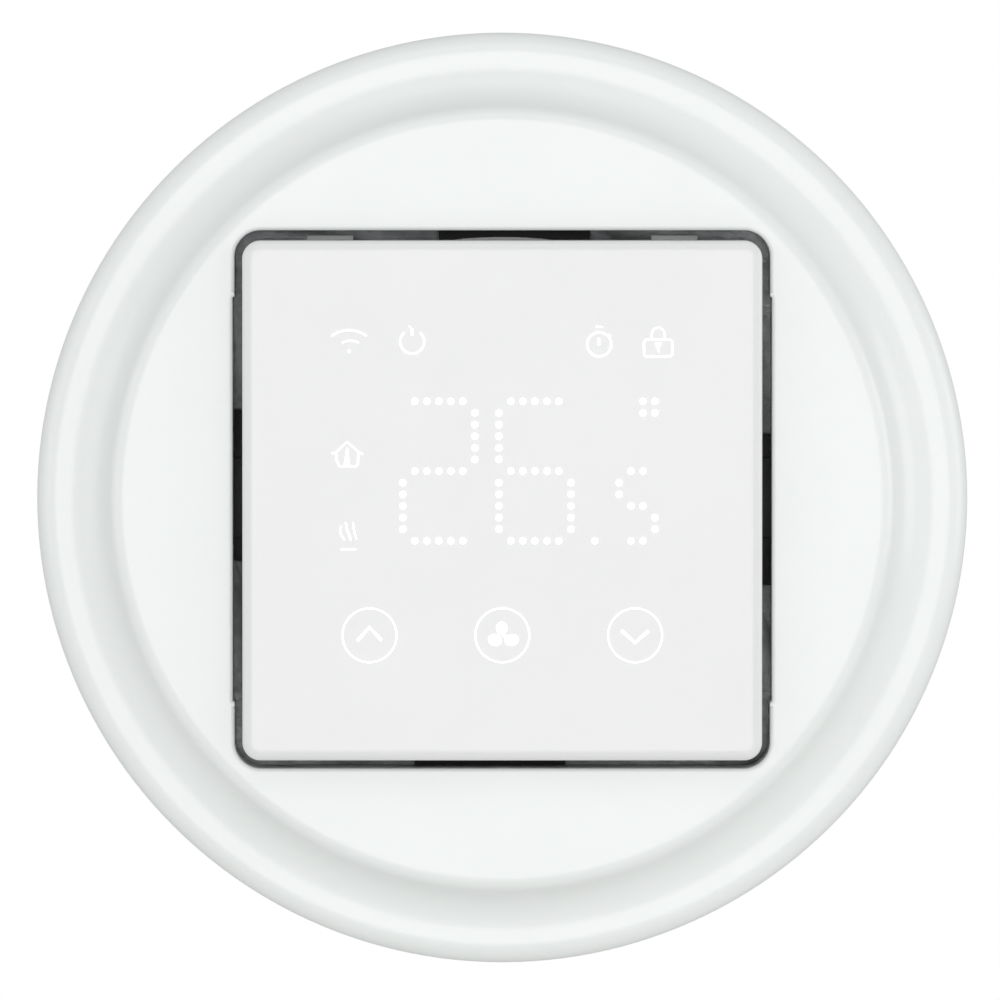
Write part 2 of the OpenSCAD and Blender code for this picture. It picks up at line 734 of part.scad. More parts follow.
module rear_cover() to_wall() color(black_plastic) difference() {
  union() {
    trimmed_slab(base_r, base_trim_r, rear_z, rear_in_z);
    difference() {
      trimmed_slab(base_in - 0.2, base_in_trim - 0.2, rear_in_z, rear_in_z + 1.4);
      trimmed_slab(base_in - 1.2, base_in_trim - 1.2, rear_in_z - 1, rear_in_z + 2);
      four(case_screw_x, case_screw_y) rod(case_boss_r + 0.4, rear_in_z, rear_in_z + 2);
    }
  }
  span([-block_w / 2 - block_gap, block_y - 1, rear_z - 1],
       [block_w / 2 + block_gap, block_y + block_l + block_gap, rear_in_z + 3]);
  four(case_screw_x, case_screw_y) {
    rod(2.4, rear_z - 1, rear_z + 1);
    rod(case_screw_r + 0.2, rear_z - 1, rear_in_z + 1);
  }
}

module case_screws() to_wall() color(steel) four(case_screw_x, case_screw_y) {
  translate([0, 0, rear_z + 1]) mirror([0, 0, 1]) pan_head(2.2, 0.95);
  rod(case_screw_r, rear_z + 1, rear_in_z + 8);
}

module power_board() to_wall() color(board_green) difference() {
  trimmed_slab(base_in - 0.3, base_in_trim - 0.3, parts_z, power_z);
  four(case_screw_x, case_screw_y) rod(case_boss_r + 0.25, parts_z - 1, power_z + 1);
  for (p = board_screw_at) translate([p[0], p[1], 0])
    rod(board_screw_r + 0.2, parts_z - 1, power_z + 1);
  pin_grid() translate([-pin_w / 2 - fit_gap, -pin_w / 2 - fit_gap, parts_z - 1])
    cube([pin_w + 2 * fit_gap, pin_w + 2 * fit_gap, power_board_t + 2]);
}

module board_screws() to_wall() color(steel) for (p = board_screw_at)
  translate([p[0], p[1], 0]) {
    translate([0, 0, parts_z]) mirror([0, 0, 1]) pan_head(1.7, 1.2);
    rod(board_screw_r, parts_z, power_z + 3);
  }

module header_body() to_wall() color(black_plastic) difference() {
  translate([0, header_y, 0])
    span([-socket_w / 2, -socket_l / 2, power_z], [socket_w / 2, socket_l / 2, power_z + header_h]);
  pin_grid() translate([-pin_w / 2, -pin_w / 2, power_z - 1]) cube([pin_w, pin_w, header_h + 2]);
}

module header_pins() to_wall() color("gold") pin_grid()
  translate([-pin_w / 2, -pin_w / 2, parts_z]) cube([pin_w, pin_w, pin_top - parts_z]);

// --------------------------------------------------------------- terminals

module poles() for (i = [0:pole_count - 1])
  translate([(i - (pole_count - 1) / 2) * pole_pitch, 0, 0]) children();

module terminal_block() to_wall() color([0.12, 0.4, 0.22]) difference() {
  span([-block_w / 2, block_y, rear_z], [block_w / 2, block_y + block_l, parts_z]);
  poles() {
    // screw access, shoulder, chamber, wire entry and tail of the current bar
    translate([0, pole_y, 0]) {
      rod(head_r + 0.2, rear_z - 1, shoulder_z);
      rod(screw_d / 2 + running_gap, shoulder_z - 1, chamber_z0 + 1);
    }
    span([-chamber_w / 2, chamber_y0, chamber_z0], [chamber_w / 2, chamber_y1, chamber_z1]);
    translate([0, block_y - 1, wire_z]) rotate([-90, 0, 0])
      cylinder(d = wire_d, h = chamber_y0 - block_y + 1.5);
    span([-1.3, chamber_y1 - 0.5, bar_z - 0.1], [1.3, tail_y + tongue_thick + 0.1, parts_z + 1]);
  }
}

module terminal_tongues() to_wall() color(copper) poles() {
  span([-1.2, chamber_y0 + 0.3, bar_z], [1.2, tail_y + tongue_thick, bar_top]);
  span([-1.2, tail_y, bar_z], [1.2, tail_y + tongue_thick, parts_z]);
}

module terminal_screw(i) to_wall() color(steel)
  translate([(i - (pole_count + 1) / 2) * pole_pitch, pole_y, 0]) {
    difference() {
      rod(head_r, rear_z + head_sink, shoulder_z - 0.02);
      span([-head_r - 1, -0.25, rear_z], [head_r + 1, 0.25, rear_z + head_sink + 0.7]);
    }
    rod(screw_d / 2, shoulder_z - 0.02, tip_z);
  }

module clamp_cage(i) to_wall() color(zinc)
  translate([(i - (pole_count + 1) / 2) * pole_pitch, pole_y, 0]) difference() {
    span([-cage_w / 2, -cage_l / 2, cage_lid_z], [cage_w / 2, cage_l / 2, cage_top]);
    span([-cage_w / 2 + cage_side, -cage_l, cage_lid_z + cage_lid],
         [cage_w / 2 - cage_side, cage_l, cage_top - cage_floor]);
    rod(screw_d / 2 + running_gap, cage_lid_z - 1, cage_lid_z + cage_lid + 1);
  }

// ------------------------------------------------------------------- relay

relay_wall = 0.8;
relay_base_t = 1.8;
yoke_t = 1.2;
yoke_w = 9;
yoke_y = 6.4;           // inner face of the upright
yoke_h = 12;
core_r = 2.2;
pole_r = 3.4;
pole_top = 11.2;
coil_r = 5;
arm_gap = 0.06;
arm_t = 1;
arm_w = yoke_w - 0.8;
arm_end = -4.6;         // free end of the armature
strip_t = 0.3;
tip_y = -6.6;           // where the contacts meet

module relay_base() to_wall() color(black_plastic) on_power_board(relay_at)
  span([-relay_w / 2 + relay_wall + fit_gap, -relay_l / 2 + relay_wall + fit_gap, 0],
       [relay_w / 2 - relay_wall - fit_gap, relay_l / 2 - relay_wall - fit_gap, relay_base_t]);

module relay_cover() to_wall() color([0.1, 0.25, 0.6]) on_power_board(relay_at) difference() {
  round_slab(relay_w, relay_l, 0.6, 0.3, relay_h);
  span([-relay_w / 2 + relay_wall, -relay_l / 2 + relay_wall, 0],
       [relay_w / 2 - relay_wall, relay_l / 2 - relay_wall, relay_h - relay_wall]);
}

module relay_bobbin() to_wall() color("ivory") on_power_board(relay_at) difference() {
  union() {
    rod(core_r + 0.7, relay_base_t + yoke_t + 0.1, pole_top - 0.7);
    rod(coil_r, relay_base_t + yoke_t + 0.1, relay_base_t + yoke_t + 0.8);
    rod(coil_r, pole_top - 1.4, pole_top - 0.7);
  }
  rod(core_r + fit_gap, 0, pole_top);
}

module relay_winding() to_wall() color(copper) on_power_board(relay_at) difference() {
  rod(coil_r - 0.3, relay_base_t + yoke_t + 0.85, pole_top - 1.45);
  rod(core_r + 0.75, 0, pole_top);
}

module relay_yoke() to_wall() color(steel) on_power_board(relay_at) {
  span([-yoke_w / 2, -coil_r, relay_base_t], [yoke_w / 2, yoke_y + yoke_t, relay_base_t + yoke_t]);
  span([-yoke_w / 2, yoke_y, relay_base_t], [yoke_w / 2, yoke_y + yoke_t, yoke_h]);
  rod(core_r, relay_base_t + yoke_t - 0.1, pole_top);
  rod(pole_r, pole_top - 0.6, pole_top);
}

module relay_contacts() to_wall() color("gold") on_power_board(relay_at) {
  span([-1.8, -8.2, relay_base_t], [1.8, -7.6, 10.9]);
  span([-1.8, -8.2, 10.6], [1.8, tip_y + 1, 10.9]);
  translate([0, tip_y, 0]) rod(1.1, 10.8, 11.15);
}

module relay_armature() to_wall() color(steel) on_power_board(relay_at)
  span([-arm_w / 2, arm_end, yoke_h + arm_gap],
       [arm_w / 2, yoke_y + yoke_t, yoke_h + arm_gap + arm_t]);

module contact_spring() to_wall() color("gold") on_power_board(relay_at) {
  z0 = yoke_h + arm_gap + arm_t;
  span([-1.6, tip_y - 1.2, z0], [1.6, 3, z0 + strip_t]);
  translate([0, tip_y, 0]) rod(1, z0 - 0.75, z0 + 0.1);
  for (y = [-1.5, 1.5]) translate([0, y, 0]) rod(0.7, z0 + strip_t - 0.1, z0 + strip_t + 0.25);
}

// -------------------------------------------- other parts on the power board

core_w = 13;
core_l = 6;
core_h = 11.2;
leg_w = 1.6;            // half width of the middle leg
win_w = 3.1;            // width of a window of the core

module transformer_core() to_wall() color([0.2, 0.2, 0.22]) on_power_board(transformer_at)
  difference() {
    span([-core_w / 2, -core_l / 2, 0.6], [core_w / 2, core_l / 2, core_h]);
    for (s = [-1, 1]) translate([s * (leg_w + win_w / 2), 0, 0.6 + core_h / 2 - 0.3])
      cube([win_w, core_l + 1, core_h - 4.6], center = true);
  }

module transformer_bobbin() to_wall() color(black_plastic) on_power_board(transformer_at) {
  z0 = 2.75;
  z1 = core_h - 2.25;
  difference() {
    union() {
      span([-leg_w - 0.6, -core_l / 2 - 0.6, z0], [leg_w + 0.6, core_l / 2 + 0.6, z1]);
      for (z = [z0, z1 - 0.6]) span([-4.5, -6, z], [4.5, 6, z + 0.6]);
    }
    span([-leg_w - fit_gap, -core_l / 2 - fit_gap, 0], [leg_w + fit_gap, core_l / 2 + fit_gap, core_h]);
  }
  for (s = [-1, 1]) translate([0, s * 5, z0 / 2 + 0.1]) cube([12, 2, z0 + 0.2], center = true);
}

module transformer_winding() to_wall() color([0.85, 0.75, 0.2]) on_power_board(transformer_at)
  difference() {
    span([-4.2, -5.6, 3.4], [4.2, 5.6, core_h - 2.9]);
    span([-leg_w - 0.65, -core_l / 2 - 0.65, 0], [leg_w + 0.65, core_l / 2 + 0.65, core_h]);
  }

module film_capacitor() to_wall() color([0.9, 0.72, 0.1]) on_power_board(film_at)
  round_slab(film_size[0], film_size[1], 0.6, 0, film_size[2]);

module electrolytic_capacitors() to_wall() color([0.1, 0.1, 0.3]) for (at = can_at)
  on_power_board(at) rotate_extrude()
    polygon([[0, 0], [can_r - 0.5, 0], [can_r, 0.5], [can_r, 1.2], [can_r - 0.35, 1.6],
             [can_r, 2], [can_r, can_h - 0.4], [can_r - 0.4, can_h], [0, can_h]]);

module varistor() to_wall() color([0.15, 0.35, 0.75]) on_power_board(varistor_at) {
  translate([0, 1.4, varistor_r + 1]) rotate([90, 0, 0]) cylinder(r = varistor_r, h = 2.8);
  for (s = [-1, 1]) translate([s * 2.5, 0, 0]) rod(0.35, 0, 3);
}

module fuse() to_wall() color([0.25, 0.15, 0.1]) on_power_board(fuse_at)
  round_slab(fuse_size[0], fuse_size[1], 0.5, 0, fuse_size[2]);

module rectifier() to_wall() color(black_plastic) on_power_board(rectifier_at) {
  span([-3.2, -2.4, 0.2], [3.2, 2.4, 2.6]);
  for (sx = [-1, 1], sy = [-1, 1]) translate([sx * 2.5, sy * 2.8, 0.25])
    cube([1, 1.6, 0.5], center = true);
}

// ----------------------------------------------------------------- drawing

cover_frame();
face_cover();
digit_dots();
icon_marks();
key_marks();
light_box();
segment_leds();
icon_leds();
touch_springs();
display_board();
controller_chip();
wireless_module();
buzzer();
room_sensor();
backup_battery();
battery_clip();
pin_socket();
display_back();
display_screws();
support_plate();
base_housing();
rear_cover();
case_screws();
power_board();
board_screws();
header_body();
header_pins();
terminal_block();
terminal_tongues();
terminal_screw(1);  // terminal_screw_1
terminal_screw(2);  // terminal_screw_2
terminal_screw(3);  // terminal_screw_3
terminal_screw(4);  // terminal_screw_4
terminal_screw(5);  // terminal_screw_5
terminal_screw(6);  // terminal_screw_6
clamp_cage(1);  // clamp_cage_1
clamp_cage(2);  // clamp_cage_2
clamp_cage(3);  // clamp_cage_3
clamp_cage(4);  // clamp_cage_4
clamp_cage(5);  // clamp_cage_5
clamp_cage(6);  // clamp_cage_6
relay_base();
relay_cover();
relay_bobbin();
relay_winding();
relay_yoke();
relay_contacts();
relay_armature();
contact_spring();
transformer_core();
transformer_bobbin();
transformer_winding();
film_capacitor();
electrolytic_capacitors();
varistor();
fuse();
rectifier();
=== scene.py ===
import json
import math

import bmesh
import bpy
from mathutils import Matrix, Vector


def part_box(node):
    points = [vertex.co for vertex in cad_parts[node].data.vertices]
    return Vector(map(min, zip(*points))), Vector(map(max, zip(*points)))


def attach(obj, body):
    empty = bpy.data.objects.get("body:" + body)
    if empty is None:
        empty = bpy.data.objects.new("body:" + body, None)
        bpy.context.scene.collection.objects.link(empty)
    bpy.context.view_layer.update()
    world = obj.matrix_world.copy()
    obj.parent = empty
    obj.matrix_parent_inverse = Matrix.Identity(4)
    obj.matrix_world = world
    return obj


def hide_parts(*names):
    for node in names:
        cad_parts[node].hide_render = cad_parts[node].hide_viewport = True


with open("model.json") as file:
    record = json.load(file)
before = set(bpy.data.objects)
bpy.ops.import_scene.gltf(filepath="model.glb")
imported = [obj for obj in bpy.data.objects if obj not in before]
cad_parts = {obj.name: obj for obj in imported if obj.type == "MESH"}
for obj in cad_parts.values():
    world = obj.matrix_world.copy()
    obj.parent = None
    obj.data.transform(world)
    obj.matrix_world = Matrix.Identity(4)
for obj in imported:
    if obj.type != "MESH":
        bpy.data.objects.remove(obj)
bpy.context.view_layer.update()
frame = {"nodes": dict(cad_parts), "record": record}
nodes = frame["nodes"]
mm = 0.001
print("frame loaded:", len(nodes), "nodes")

# Heights are measured out of the wall, so a depth of 5 mm lies at Y = -5 mm
faceLow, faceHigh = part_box("face_cover")
frameLow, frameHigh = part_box("cover_frame")
plateLow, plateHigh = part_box("support_plate")
backLow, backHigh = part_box("display_back")
faceFront = -faceLow.y
faceHalf = faceHigh.x
frameTop = -frameLow.y
frameRadius = max(frameHigh.x, frameHigh.z)


# --- camera and light, set before the pieces

cameraSettings = {
    "distance": 1.5,
    "elevation": math.radians(1.8),
    "pictureWidth": 105.75 * mm,  # what the picture spans at the face
    "aimX": -0.24 * mm,
    "aimZ": 0.09 * mm,
    "sensor": 36.0,
}


def placeCamera():
    s = cameraSettings
    tilt = s["elevation"]
    aim = Vector((s["aimX"], -faceFront, s["aimZ"]))
    place = aim + s["distance"] * Vector((0, -math.cos(tilt), math.sin(tilt)))
    bpy.ops.object.camera_add(location=place, rotation=(math.pi / 2 - tilt, 0, 0))
    camera = bpy.context.object
    camera.data.sensor_width = s["sensor"]
    camera.data.lens = s["sensor"] * s["distance"] / s["pictureWidth"]
    camera.data.clip_start = 0.05
    bpy.context.scene.camera = camera


lightSettings = {
    "reach": 1.3,
    "worldLight": 0.57,
    "soft": [  # across, up, size, power
        {"name": "frontBox", "across": 0, "up": 0, "size": 0.7, "power": 4.0},
        {"name": "nearLeftBox", "across": -38, "up": 0, "size": 0.7, "power": 0.4},
        {"name": "nearRightBox", "across": 38, "up": 0, "size": 0.7, "power": 0.6},
        {"name": "leftBox", "across": -62, "up": 6, "size": 0.7, "power": 1.1},
        {"name": "rightBox", "across": 72, "up": 6, "size": 0.7, "power": 2.3},
        {"name": "topBox", "across": 0, "up": 45, "size": 0.7, "power": 1.0},
    ],
}


def placeLights():
    s = lightSettings
    for box in s["soft"]:
        across, up = math.radians(box["across"]), math.radians(box["up"])
        way = Vector((math.sin(across) * math.cos(up), -math.cos(across) * math.cos(up), math.sin(up)))
        bpy.ops.object.light_add(type="AREA", location=way * s["reach"])
        lamp = bpy.context.object
        lamp.name = box["name"]
        lamp.rotation_euler = (-way).to_track_quat("-Z", "Y").to_euler()
        lamp.data.shape = "SQUARE"
        lamp.data.size = box["size"]
        lamp.data.energy = box["power"]
        lamp.visible_camera = False


def paintWorld():
    world = bpy.data.worlds.new("paleRoom")
    bpy.context.scene.world = world
    world.use_nodes = True
    tree = world.node_tree
    tree.nodes.clear()
    out = tree.nodes.new("ShaderNodeOutputWorld")
    seen = tree.nodes.new("ShaderNodeBackground")
    seen.inputs["Color"].default_value = (1, 1, 1, 1)
    seen.inputs["Strength"].default_value = 1.0
    lit = tree.nodes.new("ShaderNodeBackground")
    lit.inputs["Color"].default_value = (0.98, 1.0, 0.99, 1)
    lit.inputs["Strength"].default_value = lightSettings["worldLight"]
    rays = tree.nodes.new("ShaderNodeLightPath")
    mix = tree.nodes.new("ShaderNodeMixShader")
    tree.links.new(rays.outputs["Is Camera Ray"], mix.inputs["Fac"])
    tree.links.new(lit.outputs[0], mix.inputs[1])
    tree.links.new(seen.outputs[0], mix.inputs[2])
    tree.links.new(mix.outputs[0], out.inputs["Surface"])
    bpy.context.scene.view_settings.view_transform = "Standard"


placeCamera()
placeLights()
paintWorld()
print("camera and lights placed")


# --- finishes

class Finish:
    # A Principled material with a few helpers for its noise, so each finish below stays short
    def __init__(self, name, colour, roughness, metallic=0.0):
        self.material = bpy.data.materials.new(name)
        self.material.use_nodes = True
        self.tree = self.material.node_tree
        self.shader = self.tree.nodes["Principled BSDF"]
        self.shader.inputs["Base Color"].default_value = (*colour, 1)
        self.shader.inputs["Roughness"].default_value = roughness
        self.shader.inputs["Metallic"].default_value = metallic
        self.place = self.tree.nodes.new("ShaderNodeTexCoord").outputs["Object"]
        self.bumps = None

    def stretch(self, scale):
        node = self.tree.nodes.new("ShaderNodeMapping")
        node.inputs["Scale"].default_value = scale
        self.tree.links.new(self.place, node.inputs["Vector"])
        return node.outputs["Vector"]

    def noise(self, size, detail=4.0, place=None):
        node = self.tree.nodes.new("ShaderNodeTexNoise")
        node.inputs["Scale"].default_value = 1 / size
        node.inputs["Detail"].default_value = detail
        self.tree.links.new(place or self.place, node.inputs["Vector"])
        return node.outputs["Fac"]

    def spread(self, value, low, high):
        node = self.tree.nodes.new("ShaderNodeMapRange")
        node.inputs["From Min"].default_value = 0.3
        node.inputs["From Max"].default_value = 0.7
        node.inputs["To Min"].default_value = low
        node.inputs["To Max"].default_value = high
        self.tree.links.new(value, node.inputs["Value"])
        return node.outputs["Result"]

    def blendColours(self, value, one, two):
        ramp = self.tree.nodes.new("ShaderNodeValToRGB")
        ramp.color_ramp.elements[0].position = 0.35
        ramp.color_ramp.elements[0].color = (*one, 1)
        ramp.color_ramp.elements[1].position = 0.65
        ramp.color_ramp.elements[1].color = (*two, 1)
        self.tree.links.new(value, ramp.inputs["Fac"])
        self.tree.links.new(ramp.outputs["Color"], self.shader.inputs["Base Color"])
        return ramp

    def roughen(self, value, low, high):
        self.tree.links.new(self.spread(value, low, high), self.shader.inputs["Roughness"])

    def bump(self, value, height, strength=1.0):
        node = self.tree.nodes.new("ShaderNodeBump")
        node.inputs["Strength"].default_value = strength
        node.inputs["Distance"].default_value = height
        self.tree.links.new(value, node.inputs["Height"])
        if self.bumps:
            self.tree.links.new(self.bumps, node.inputs["Normal"])
        self.bumps = node.outputs["Normal"]
        self.tree.links.new(self.bumps, self.shader.inputs["Normal"])


def mouldedPlastic(name, colour, gloss, grain, grainHeight, coat=0.0):
    # Injection moulded: faint flow clouds in the colour, fine spark grain, uneven sheen
    f = Finish(name, colour, gloss)
    shade = [c * 0.988 for c in colour]
    f.blendColours(f.noise(14 * mm, 2.0), shade, colour)
    f.roughen(f.noise(3 * mm, 3.0), gloss * 0.97, gloss * 1.04)
    f.bump(f.noise(grain, 2.0), grainHeight)
    f.bump(f.noise(9 * mm, 1.0), 0.02 * mm, 0.25)
    f.shader.inputs["Coat Weight"].default_value = coat
    f.shader.inputs["Coat Roughness"].default_value = 0.12
    return f.material


def platedSteel(name, colour, gloss, along=(1, 1, 1)):
    # Rolled sheet under bright zinc: streaks, cloudy spangle and a little grain
    f = Finish(name, colour, gloss, metallic=1.0)
    streak = f.stretch(along)
    shade = [c * 0.82 for c in colour]
    f.blendColours(f.noise(2.2 * mm, 5.0), shade, colour)
    f.roughen(f.noise(0.5 * mm, 4.0, streak), gloss * 0.75, gloss * 1.3)
    f.bump(f.noise(0.12 * mm, 3.0, streak), 0.004 * mm)
    return f.material


def solderMask(name):
    # Green lacquer over copper tracks that stand a little proud
    f = Finish(name, (0.01, 0.10, 0.045), 0.3)
    tracks = f.tree.nodes.new("ShaderNodeTexBrick")
    tracks.inputs["Scale"].default_value = 1 / (6 * mm)
    tracks.inputs["Color1"].default_value = (0.012, 0.12, 0.05, 1)
    tracks.inputs["Color2"].default_value = (0.01, 0.10, 0.045, 1)
    tracks.inputs["Mortar"].default_value = (0.03, 0.2, 0.08, 1)
    tracks.inputs["Mortar Size"].default_value = 0.03
    flat = f.tree.nodes.new("ShaderNodeMapping")
    flat.inputs["Rotation"].default_value = (math.pi / 2, 0, 0)
    f.tree.links.new(f.place, flat.inputs["Vector"])
    f.tree.links.new(flat.outputs["Vector"], tracks.inputs["Vector"])
    f.tree.links.new(tracks.outputs["Color"], f.shader.inputs["Base Color"])
    f.bump(tracks.outputs["Fac"], 0.03 * mm)
    f.roughen(f.noise(1.5 * mm), 0.24, 0.36)
    return f.material


def woundWire(name, colour, pitch):
    # Turns of enamelled wire laid side by side along Y; the colour darkens between turns as painted shade
    # in the grooves
    f = Finish(name, colour, 0.25, metallic=0.6)
    turns = f.tree.nodes.new("ShaderNodeTexWave")
    turns.bands_direction = "Y"
    turns.inputs["Scale"].default_value = 1 / (pitch * 3.2)
    turns.inputs["Distortion"].default_value = 0.4
    f.tree.links.new(f.place, turns.inputs["Vector"])
    # Darker bands between the turns are painted shade in the grooves, not a second colour of wire
    f.blendColours(turns.outputs["Fac"], [c * 0.45 for c in colour], colour)
    f.bump(turns.outputs["Fac"], 0.06 * mm)
    return f.material


def litMark(name, strength):
    # Light that shows through the face: bright, and a touch uneven as behind a diffuser
    f = Finish(name, (0.95, 0.95, 0.95), 0.3)
    f.roughen(f.noise(0.4 * mm), 0.25, 0.4)
    haze = f.tree.nodes.new("ShaderNodeValToRGB")
    haze.color_ramp.elements[0].color = (0.93, 0.95, 0.96, 1)
    haze.color_ramp.elements[1].color = (1, 1, 1, 1)
    f.tree.links.new(f.noise(2 * mm, 1.0), haze.inputs["Fac"])
    f.tree.links.new(haze.outputs["Color"], f.shader.inputs["Emission Color"])
    f.shader.inputs["Emission Strength"].default_value = strength
    return f.material


finishes = {
    "frame_white": mouldedPlastic("glazedWhite", (0.85, 0.868, 0.858), 0.3, 0.09 * mm, 0.0012 * mm, 0.25),
    "face_white": mouldedPlastic("faceWhite", (0.785, 0.785, 0.785), 0.26, 0.07 * mm, 0.00015 * mm, 0.3),
    "back_white": mouldedPlastic("backWhite", (0.78, 0.79, 0.785), 0.45, 0.12 * mm, 0.006 * mm),
    "glow": litMark("litMark", 0.75),
    "led_white": mouldedPlastic("ledLens", (0.82, 0.8, 0.68), 0.3, 0.1 * mm, 0.002 * mm),
    "gilt": platedSteel("gilt", (0.83, 0.62, 0.26), 0.25),
    "board": solderMask("solderMask"),
    "black_plastic": mouldedPlastic("blackMoulding", (0.018, 0.018, 0.02), 0.5, 0.16 * mm, 0.012 * mm),
    "sensor_black": mouldedPlastic("dippedResin", (0.015, 0.015, 0.015), 0.2, 0.3 * mm, 0.004 * mm),
    "tin": platedSteel("tinnedSteel", (0.72, 0.72, 0.7), 0.28),
    "screw_steel": platedSteel("screwSteel", (0.62, 0.62, 0.61), 0.27, (1, 3, 1)),
    # The zinc sheet colour is set far darker than bright zinc: painted shade for the deep gaps round the
    # face where the plate shows
    "zinc": platedSteel("zincSheetDarkenedAsGapShade", (0.22, 0.225, 0.23), 0.42, (1, 1, 6)),
    "terminal_green": mouldedPlastic("terminalGreen", (0.03, 0.2, 0.08), 0.42, 0.14 * mm, 0.008 * mm),
    "copper": platedSteel("bareCopper", (0.7, 0.33, 0.17), 0.3),
    "relay_blue": mouldedPlastic("relayBlue", (0.02, 0.08, 0.34), 0.3, 0.1 * mm, 0.003 * mm),
    "ivory": mouldedPlastic("ivoryMoulding", (0.75, 0.68, 0.5), 0.4, 0.12 * mm, 0.005 * mm),
    "ferrite": mouldedPlastic("ferrite", (0.04, 0.04, 0.043), 0.6, 0.05 * mm, 0.01 * mm),
    "tape_yellow": mouldedPlastic("yellowFilm", (0.8, 0.5, 0.03), 0.3, 0.5 * mm, 0.01 * mm),
    "can_sleeve": mouldedPlastic("shrinkSleeve", (0.02, 0.025, 0.1), 0.25, 0.8 * mm, 0.01 * mm),
    "varistor_blue": mouldedPlastic("epoxyBlue", (0.02, 0.1, 0.45), 0.28, 0.5 * mm, 0.02 * mm),
    "fuse_brown": mouldedPlastic("fuseBrown", (0.1, 0.045, 0.025), 0.4, 0.1 * mm, 0.005 * mm),
}
coilFinish = woundWire("coilWire", (0.62, 0.26, 0.1), 0.12 * mm)
nodeSlots = {row["node"]: row["material_slot"] for row in frame["record"]["subparts"]}
nodeBodies = {n: b for b, names in frame["record"]["behaviour"]["bodies"].items() for n in names}
print("finishes made:", len(finishes))


# --- small tools for modelling

def clearSelection():
    if bpy.context.object and bpy.context.object.mode != "OBJECT":
        bpy.ops.object.mode_set(mode="OBJECT")
    bpy.ops.object.select_all(action="DESELECT")


def pickOnly(piece):
    clearSelection()
    piece.select_set(True)
    bpy.context.view_layer.objects.active = piece


def editPiece(piece, kind="FACE"):
    pickOnly(piece)
    bpy.ops.object.mode_set(mode="EDIT")
    bpy.ops.mesh.select_mode(type=kind)
    bpy.ops.mesh.select_all(action="DESELECT")


def leaveEdit():
    bpy.ops.object.mode_set(mode="OBJECT")


def selectFaces(piece, test):
    mesh = bmesh.from_edit_mesh(piece.data)
    for face in mesh.faces:
        face.select_set(bool(test(face)))
    mesh.select_flush_mode()
    bmesh.update_edit_mesh(piece.data)


def selectEdges(piece, test):
    mesh = bmesh.from_edit_mesh(piece.data)
    for edge in mesh.edges:
        edge.select_set(bool(test(edge)))
    mesh.select_flush_mode()
    bmesh.update_edit_mesh(piece.data)


def bakePlace(piece):
    pickOnly(piece)
    bpy.ops.object.transform_apply(location=True, rotation=True, scale=True)


def applyModifier(piece, kind, **values):
    pickOnly(piece)
    modifier = piece.modifiers.new(kind.title(), kind)
    for key, value in values.items():
        setattr(modifier, key, value)
    bpy.ops.object.modifier_apply(modifier=modifier.name)


def cutWith(piece, cutter, operation="DIFFERENCE"):
    applyModifier(piece, "BOOLEAN", operation=operation, solver="EXACT", object=cutter)
    bpy.data.objects.remove(cutter)


def joinPieces(parts):
    clearSelection()
    for part in parts:
        part.select_set(True)
    bpy.context.view_layer.objects.active = parts[0]
    bpy.ops.object.join()
    return bpy.context.object


def smoothBy(piece, degrees):
    pickOnly(piece)
    bpy.ops.object.shade_smooth_by_angle(angle=math.radians(degrees))


def settle(piece, name, body, slot, *replaced, material=None):
    # The last step of every piece: name, finish, body and the CAD nodes that it stands for
    bakePlace(piece)
    piece.name = name
    piece.data.materials.clear()
    piece.data.materials.append(material or finishes[slot])
    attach(piece, body)
    if replaced:
        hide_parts(*replaced)
    return piece


def roundedPlate(half, halfUp, corner, low, high, steps=14):
    # A plate with rounded corners whose thickness runs from low to high out of the wall
    clearSelection()
    bpy.ops.mesh.primitive_plane_add(size=2, location=(0, -low, 0), rotation=(math.pi / 2, 0, 0))
    piece = bpy.context.object
    piece.scale = (half, halfUp, 1)
    bakePlace(piece)
    editPiece(piece, "VERT")
    bpy.ops.mesh.select_all(action="SELECT")
    bpy.ops.mesh.bevel(offset=corner, segments=steps, affect="VERTICES")
    bpy.ops.mesh.select_mode(type="FACE")
    bpy.ops.mesh.select_all(action="SELECT")
    bpy.ops.mesh.extrude_region_move(TRANSFORM_OT_translate={"value": (0, low - high, 0)})
    bpy.ops.mesh.select_all(action="SELECT")
    bpy.ops.mesh.normals_make_consistent(inside=False)
    leaveEdit()
    return piece


def lathe(points, steps, name):
    # Spins a closed outline of (radius, height out of the wall) about the Y axis
    clearSelection()
    bpy.ops.mesh.primitive_plane_add(size=1 * mm)
    piece = bpy.context.object
    piece.name = name
    editPiece(piece, "VERT")
    mesh = bmesh.from_edit_mesh(piece.data)
    mesh.verts.ensure_lookup_table()
    start = mesh.verts[0]
    bmesh.ops.delete(mesh, geom=[v for v in mesh.verts if v is not start], context="VERTS")
    start.co = (points[0][0], -points[0][1], 0)
    start.select_set(True)
    bmesh.update_edit_mesh(piece.data)
    for here, there in zip(points, points[1:]):
        move = (there[0] - here[0], here[1] - there[1], 0)
        bpy.ops.mesh.extrude_region_move(TRANSFORM_OT_translate={"value": move})
    bpy.ops.mesh.select_all(action="SELECT")
    bpy.ops.mesh.spin(steps=steps, angle=2 * math.pi, center=(0, 0, 0), axis=(0, 1, 0))
    bpy.ops.mesh.select_all(action="SELECT")
    bpy.ops.mesh.remove_doubles(threshold=0.002 * mm)
    bpy.ops.mesh.normals_make_consistent(inside=False)
    leaveEdit()
    return piece


def arcPoints(centre, radius, first, last, count):
    turn = [first + (last - first) * i / count for i in range(count + 1)]
    return [(centre[0] + radius * math.cos(math.radians(a)),
             centre[1] + radius * math.sin(math.radians(a))) for a in turn]


